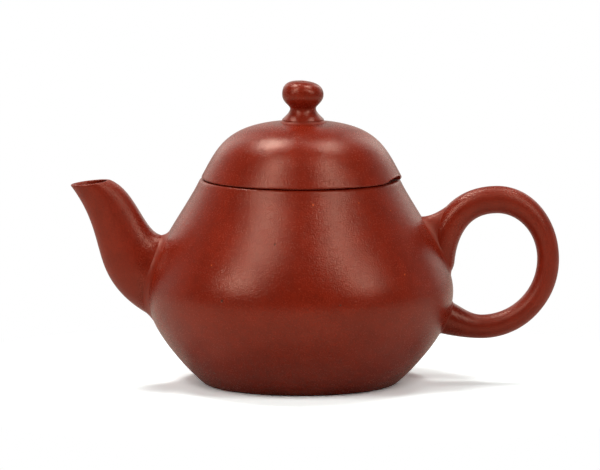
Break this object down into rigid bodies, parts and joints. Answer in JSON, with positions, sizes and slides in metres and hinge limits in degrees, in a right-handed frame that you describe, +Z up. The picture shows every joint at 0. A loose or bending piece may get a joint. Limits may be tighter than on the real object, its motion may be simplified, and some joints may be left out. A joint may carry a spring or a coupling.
{
  "type": "clay teapot",
  "caption": "Small pear-shaped red clay teapot with a domed lift-off lid, round knob, short curved spout, pierced strainer and looped handle.",
  "frame": {"origin": "on the axis of the body, at the plane that the pot rests on", "axes": "+Z up along the body's axis, spout towards -X, handle towards +X"},
  "size_m": [0.1199, 0.0752, 0.0743],
  "materials": {
    "red_clay": "satin",
    "base_clay": "matte",
    "slip": "satin"
  },
  "bodies": {
    "pot": {"body_wall": "red_clay", "base_disc": "base_clay", "base_slip_ring": "slip", "mouth_ring": "red_clay", "spout": "red_clay", "spout_slip_fillet": "slip", "handle": "red_clay", "handle_upper_slip_fillet": "slip", "handle_lower_slip_fillet": "slip"},
    "lid": {"lid_dome": "red_clay", "lid_flange": "base_clay", "lid_slip_ring": "slip", "knob": "red_clay", "knob_slip_fillet": "slip"}
  },
  "joints": [
    {"name": "lid_lift", "type": "slide", "parent": "pot", "child": "lid", "axis": [0, 0, 1], "range_m": [0, 0.04]}
  ]
}
